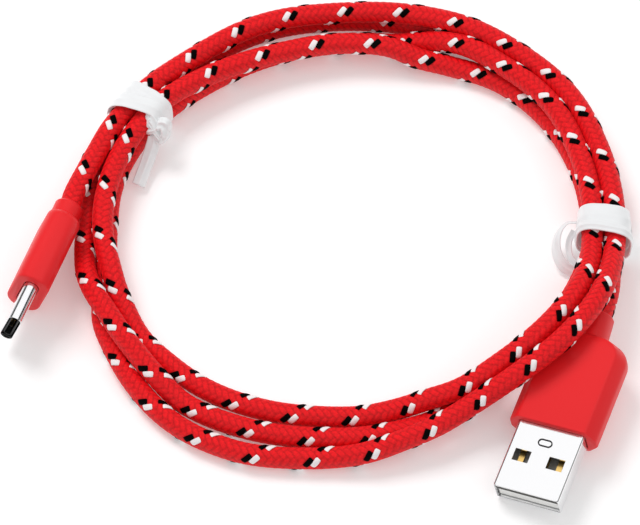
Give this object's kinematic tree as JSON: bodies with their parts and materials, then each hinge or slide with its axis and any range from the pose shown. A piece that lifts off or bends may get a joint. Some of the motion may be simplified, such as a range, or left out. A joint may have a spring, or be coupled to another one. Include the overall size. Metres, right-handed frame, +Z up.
{
  "type": "charging cable",
  "caption": "Braided red charging cable coiled flat and held by two white twist ties, with a USB-A plug on one end and a USB-C plug on the other.",
  "frame": {"origin": "on the surface the cable lies on, under the middle of the whole object's box", "axes": "+Z up; the USB-A plug points towards -Y and a little -X; +X is to the side the USB-A plug is on"},
  "size_m": [0.1122, 0.1044, 0.0135],
  "materials": {
    "red_braid": "finely braided red yarn with a slight sheen",
    "red_moulding": "satin red moulded plastic",
    "bright_steel": "bright nickel-plated steel",
    "spring_steel": "plain spring steel",
    "gold_plate": "gold-plated copper alloy",
    "white_plastic": "white moulded plastic",
    "black_plastic": "black moulded plastic",
    "inner_plastic": "off-white inner moulding",
    "board_green": "green solder mask",
    "tie_plastic": "glossy soft white plastic",
    "wire_red": "smooth wire insulation",
    "wire_white": "smooth wire insulation",
    "wire_green": "smooth wire insulation",
    "wire_black": "smooth wire insulation"
  },
  "bodies": {
    "root": {"cable_coil": "red_braid", "cable_low_pass": "red_braid", "tie_left": "tie_plastic", "tie_right": "tie_plastic"},
    "plug_a": {"cable_tail_a": "red_braid", "usb_a_overmould": "red_moulding", "usb_a_inner_mould": "inner_plastic", "usb_a_shell": "bright_steel", "usb_a_insulator": "white_plastic", "usb_a_contact_vbus": "gold_plate", "usb_a_contact_dminus": "gold_plate", "usb_a_contact_dplus": "gold_plate", "usb_a_contact_gnd": "gold_plate", "usb_a_wire_red": "wire_red", "usb_a_wire_white": "wire_white", "usb_a_wire_green": "wire_green", "usb_a_wire_black": "wire_black"},
    "plug_c": {"cable_tail_c": "red_braid", "usb_c_overmould": "red_moulding", "usb_c_inner_mould": "inner_plastic", "usb_c_shell": "bright_steel", "usb_c_housing": "black_plastic", "usb_c_latch": "spring_steel", "usb_c_contact_a1_gnd": "gold_plate", "usb_c_contact_a4_vbus": "gold_plate", "usb_c_contact_a5_cc": "gold_plate", "usb_c_contact_a6_dplus": "gold_plate", "usb_c_contact_a7_dminus": "gold_plate", "usb_c_contact_a9_vbus": "gold_plate", "usb_c_contact_a12_gnd": "gold_plate", "usb_c_contact_b1_gnd": "gold_plate", "usb_c_contact_b4_vbus": "gold_plate", "usb_c_contact_b9_vbus": "gold_plate", "usb_c_contact_b12_gnd": "gold_plate", "usb_c_board": "board_green", "usb_c_resistor": "black_plastic", "usb_c_wire_red": "wire_red", "usb_c_wire_white": "wire_white", "usb_c_wire_green": "wire_green", "usb_c_wire_black": "wire_black"}
  },
  "joints": [
    {"name": "plug_a_swing", "type": "hinge", "parent": "root", "child": "plug_a", "pos_m": [0.05089, -0.00402, 0], "axis": [0, 0, 1], "range_deg": [0, 25], "stiffness_Nm_per_rad": 0.01},
    {"name": "plug_c_swing", "type": "hinge", "parent": "root", "child": "plug_c", "pos_m": [-0.03751, 0.02388, 0], "axis": [0, 0, 1], "range_deg": [-25, 0], "stiffness_Nm_per_rad": 0.01}
  ]
}
